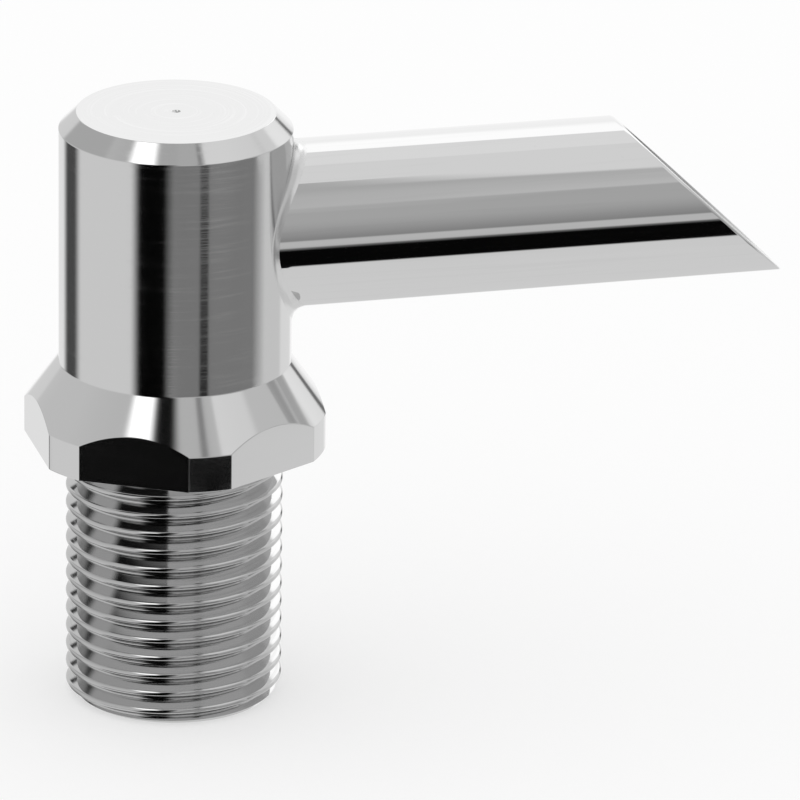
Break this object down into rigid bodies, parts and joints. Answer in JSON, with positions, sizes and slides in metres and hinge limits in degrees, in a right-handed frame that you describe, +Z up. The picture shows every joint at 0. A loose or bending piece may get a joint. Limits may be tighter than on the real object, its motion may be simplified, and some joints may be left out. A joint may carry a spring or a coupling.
{
  "type": "water spout",
  "caption": "Fixed water outlet spout: turned body with a male pipe thread, a hexagon collar and a closed barrel, and a round side tube with a slanted mouth brazed into it.",
  "frame": {"origin": "on the body's axis, in the plane of the collar's underside, which is the sealing face", "axes": "+Z up the body's axis towards the closed top, with the thread pointing down -Z; +X along the side tube towards its mouth"},
  "size_m": [0.0733, 0.029, 0.0585],
  "materials": {
    "turned_chrome": "bright plating over fine lathe marks",
    "polished_chrome": "mirror-bright plating on drawn tube",
    "braze_chrome": "bright plating over a dressed braze fillet"
  },
  "bodies": {
    "root": {"spout_body": "turned_chrome", "spout_tube": "polished_chrome", "braze_fillet": "braze_chrome"}
  },
  "joints": []
}
